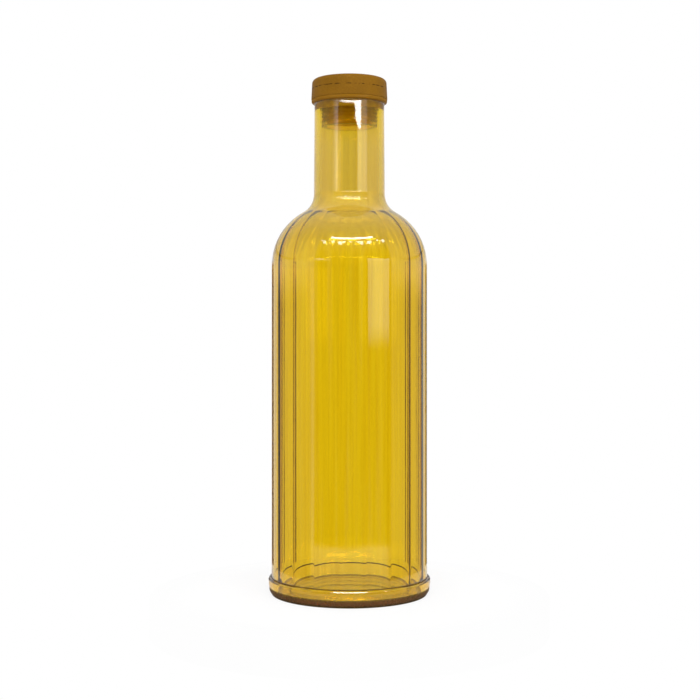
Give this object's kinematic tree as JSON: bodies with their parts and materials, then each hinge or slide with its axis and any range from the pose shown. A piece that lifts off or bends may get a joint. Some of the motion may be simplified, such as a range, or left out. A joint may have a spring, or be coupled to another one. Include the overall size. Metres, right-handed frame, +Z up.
{
  "type": "fluted acrylic bottle with stopper",
  "caption": "Clear amber round bottle with a fluted inside, a narrow straight neck, a welded foot ring and a push-in disc stopper with a seal.",
  "frame": {"origin": "centre of the face that the foot rests on", "axes": "+Z up along the bottle's axis, towards the stopper; -Y is the front"},
  "size_m": [0.0896, 0.0896, 0.2845],
  "materials": {
    "amber_acrylic": "clear, polished",
    "amber_acrylic_foot": "clear, polished",
    "stopper_plastic": "satin",
    "seal_rubber": "satin"
  },
  "bodies": {
    "root": {"bottle_body": "amber_acrylic", "foot": "amber_acrylic_foot", "stopper": "stopper_plastic", "seal_sleeve": "seal_rubber"}
  },
  "joints": []
}
